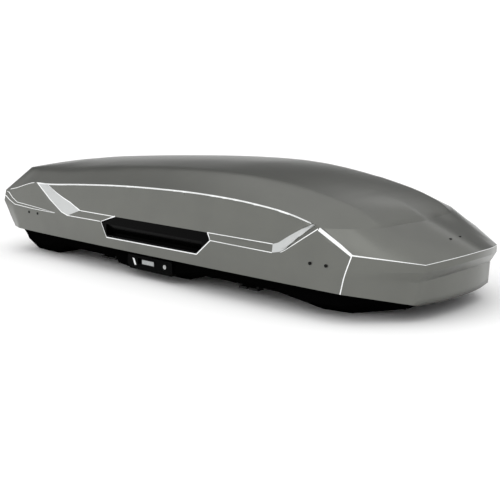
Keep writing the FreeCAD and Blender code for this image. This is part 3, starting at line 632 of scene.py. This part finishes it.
# The film is fine metal flake under clear plastic. The flake gives a quiet sparkle in the gloss, and the sheet's
# slight waviness from forming bends long reflections. Real flake is under 0.1 mm; it is coarser here to show.
FLAKE, WAVE, WAVE_DEPTH = 1.111, 142.86, 4.0


def film(name, dark, light, metallic, roughness):
    """Printed film: a tone that drifts with the sheet's waves, and a gloss broken up by flake."""
    material, shader = finish_with(name, light, Metallic=metallic, Coat_Weight=0.12, Coat_Roughness=0.12)
    place = add(material, "ShaderNodeTexCoord").outputs["Object"]
    flake = add(material, "ShaderNodeTexNoise", {"Vector": place, "Scale": 1.0 / (FLAKE * MM), "Detail": 2.0})
    wave = add(material, "ShaderNodeTexNoise", {"Vector": place, "Scale": 1.0 / (WAVE * MM), "Detail": 3.0})
    tone = add(material, "ShaderNodeMix", {"Factor": wave.outputs["Fac"], "A": srgb(dark), "B": srgb(light)},
               data_type="RGBA")
    gloss = add(material, "ShaderNodeMapRange", {"Value": flake.outputs["Fac"], "To Min": roughness - 0.06,
                                                 "To Max": roughness + 0.08})
    relief = add(material, "ShaderNodeBump", {"Height": wave.outputs["Fac"], "Strength": 0.05,
                                              "Distance": WAVE_DEPTH * MM})
    links = material.node_tree.links
    links.new(tone.outputs["Result"], shader.inputs["Base Color"])
    links.new(gloss.outputs["Result"], shader.inputs["Roughness"])
    links.new(relief.outputs["Normal"], shader.inputs["Normal"])
    return material


# Along the tight edges the film is painted near-white as a highlight, and inside the flutes it is painted a
# lighter grey where they catch the light.
lid_film = film("metallic_film", "62635F", "6C6D68", 0.72, 0.30)
painted_highlight_film = film("film_painted_highlight_on_edges", "E4E6E6", "F4F5F5", 0.1, 0.30)
# Painted light: the flute film is a lighter grey, as if the flutes were lit.
painted_lit_flute_film = film("film_painted_lit_in_flutes", "B2B4B4", "C2C4C3", 0.25, 0.34)
# Inside and along the cut edge there is no film: the sheet's own matt black shows, lightly grained.
bare_sheet = moulded("bare_black_sheet", "060606", 0.55, 3.0, 0.25, 0.1)
for material in (lid_film, painted_highlight_film, painted_lit_flute_film, bare_sheet):
    lid_sheet.data.materials.append(material)

# The sheet gets its thickness inward. Creases stay sharp, among them the shallow one between dome and nose, and
# the low corner of the nose is rolled over, so its upright edges are smooth. Reaches here are in metres.
SHEET = 4.0
CREASE_ANGLE = 22
ROLLED_AHEAD_OF, ROLLED_BELOW, ROLLED_REACH = 1.06, 0.148, 0.004
CREASE_AHEAD_OF, CREASE_ABOVE, CREASE_REACH = 0.76, 0.30, 0.0005
thickness = lid_sheet.modifiers.new("thickness", "SOLIDIFY")
thickness.thickness, thickness.offset = SHEET * MM, -1.0
thickness.material_offset = thickness.material_offset_rim = INSIDE
held = bpy.context.evaluated_depsgraph_get()
lid_sheet.data = bpy.data.meshes.new_from_object(lid_sheet.evaluated_get(held))
lid_sheet.modifiers.clear()
lid_sheet.data.shade_smooth()
lid_sheet.data.set_sharp_from_angle(angle=math.radians(CREASE_ANGLE))
sharp = lid_sheet.data.attributes["sharp_edge"].data
front_crease = [p * MM for p in part_of("shoulder", NOSE_EDGE, NOSE_TIP)]


def on_front_crease(point):
    """True for a point of the line where the dome and its shoulders meet the nose, on either side."""
    place = Vector((point.x, abs(point.y), point.z))
    return min((place - p).length for p in front_crease) < CREASE_REACH


for edge in lid_sheet.data.edges:
    a, b = (lid_sheet.data.vertices[i].co for i in edge.vertices)
    ahead, low, high = min(a.x, b.x), min(a.z, b.z), max(a.z, b.z)
    if ahead > ROLLED_AHEAD_OF and high < ROLLED_BELOW and abs(a.x - b.x) < ROLLED_REACH:
        sharp[edge.index].value = False
    if ahead > CREASE_AHEAD_OF and low > CREASE_ABOVE and on_front_crease(a) and on_front_crease(b):
        sharp[edge.index].value = True
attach(lid_sheet, "lid")
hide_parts("lid_shell")

# ------------------------------------------------------------------ side grips
# A long black moulding with a deep finger scoop, pushed into the window in each side of the lid from inside
# and held by clips. Its face is polished in the mould.
# High-gloss black shows only the edges of things around it.
grip_plastic = moulded("polished_black_grip", "010101", 0.20, 6.0, 0.02, 0.035)
dress(grip_plastic, "side_grip_left", "side_grip_right")

# ------------------------------------------------------------------ rivets
# Domed blind rivets in pairs hold the beams, strips and bracket to the sheet. Their heads are painted dark.
# Thin paint over aluminium: nearly black, with a small sharp glint.
rivet_paint = moulded("dark_rivet_paint", "030303", 0.28, 3.0, 0.05, 0.1)
dress(rivet_paint, "lid_rivets")

# ------------------------------------------------------------------ studio floor
# A sheet of plain white matt paint, far wider than the box, so that its edges are never seen.
# It is the stage and no part of the box.
FLOOR_HALF = 40.0
floor = bmesh.new()
bmesh.ops.create_grid(floor, x_segments=1, y_segments=1, size=FLOOR_HALF)
floor_piece = new_piece("floor", floor)
floor_paint, _ = finish_with("pale_floor_paint", "FFFFFF", Roughness=0.9)
floor_piece.data.materials.append(floor_paint)

# ------------------------------------------------------------------ studio light
# The box stands in a white room. Low down the walls are white all around; above, dark cloth hangs behind the
# box, with a pale gap over the nose and a pale ceiling, so that roof, nose and sides each mirror their own shade.
# One broad soft lamp stands high on the near side. Heights and bearings are shares, from -1 to 1.
ROOM_WHITE = 1.3
world = bpy.data.worlds.new("studio_white")
world.use_nodes = True
way = add(world, "ShaderNodeTexCoord").outputs["Generated"]
toward = add(world, "ShaderNodeSeparateXYZ", {"Vector": way})


def wall(stops):
    """One wall of the room, grey from floor to ceiling by (height, brightness) stops."""
    shade = add(world, "ShaderNodeValToRGB", {"Fac": toward.outputs["Z"]})
    for height, _ in stops[2:]:
        shade.color_ramp.elements.new(height)
    for stop, (height, value) in zip(shade.color_ramp.elements, stops):
        stop.position, stop.color = height, (value, value, value, 1.0)
    return shade.outputs["Color"]


def blended(axis, low, high, first, second):
    """Goes softly from one wall to the next between two bearings."""
    share = add(world, "ShaderNodeMapRange", {"Value": toward.outputs[axis], "From Min": low, "From Max": high})
    both = add(world, "ShaderNodeMix", {"Factor": share.outputs["Result"], "A": first, "B": second},
               data_type="RGBA")
    return both.outputs["Result"]


in_front = wall([(0, 1), (0.1, 0.85), (0.4, 0.9), (0.7, 0.4)])
behind = wall([(0, 1), (0.07, 1), (0.12, 0.14), (0.50, 0.10), (0.62, 0.30), (0.75, 0.85)])
over_nose = wall([(0, 1), (0.07, 1), (0.12, 0.10), (0.40, 0.10), (0.47, 1), (0.54, 1), (0.62, 0.25),
                  (0.75, 0.85)])
far_side = blended("X", -0.55, -0.35, behind, over_nose)
mirrored = world.node_tree.nodes["Background"]
mirrored.inputs["Strength"].default_value = ROOM_WHITE
world.node_tree.links.new(blended("Y", -0.2, 0.2, in_front, far_side), mirrored.inputs["Color"])

# Seen straight on, the room is the same white in every direction.
plain_white = add(world, "ShaderNodeBackground", {"Color": srgb("FFFFFF"), "Strength": ROOM_WHITE})
seen = add(world, "ShaderNodeLightPath").outputs["Is Camera Ray"]
either = add(world, "ShaderNodeMixShader", {"Fac": seen})
world.node_tree.links.new(mirrored.outputs[0], either.inputs[1])
world.node_tree.links.new(plain_white.outputs[0], either.inputs[2])
world.node_tree.links.new(either.outputs[0], world.node_tree.nodes["World Output"].inputs["Surface"])
bpy.context.scene.world = world

LAMP_STRENGTH, LAMP_SPREAD, LAMP_TILT, LAMP_BEARING = 1.3, 80, 25, 20
lamp_light = bpy.data.lights.new("soft_key", "SUN")
lamp_light.energy, lamp_light.angle = LAMP_STRENGTH, math.radians(LAMP_SPREAD)
lamp = bpy.data.objects.new("soft_key", lamp_light)
lamp.rotation_euler = (math.radians(LAMP_TILT), 0.0, math.radians(LAMP_BEARING))
bpy.context.scene.collection.objects.link(lamp)

# ------------------------------------------------------------------ camera
# It stands off the near front corner, a little above the box, and looks back and down along it through a long
# lens, so that the side, the nose and the roof all show.
LENS, SENSOR = 69.74, 36.0
CAMERA_DOWN, CAMERA_TURN = 11.4007, 42.8
camera_data = bpy.data.cameras.new("camera")
camera_data.lens, camera_data.sensor_width = LENS, SENSOR
camera = bpy.data.objects.new("camera", camera_data)
camera.location = (2.8756, -3.0579, 0.9298)
camera.rotation_euler = (math.radians(90 - CAMERA_DOWN), 0.0, math.radians(CAMERA_TURN))
bpy.context.scene.collection.objects.link(camera)
bpy.context.scene.camera = camera
bpy.context.scene.view_settings.view_transform = "Standard"
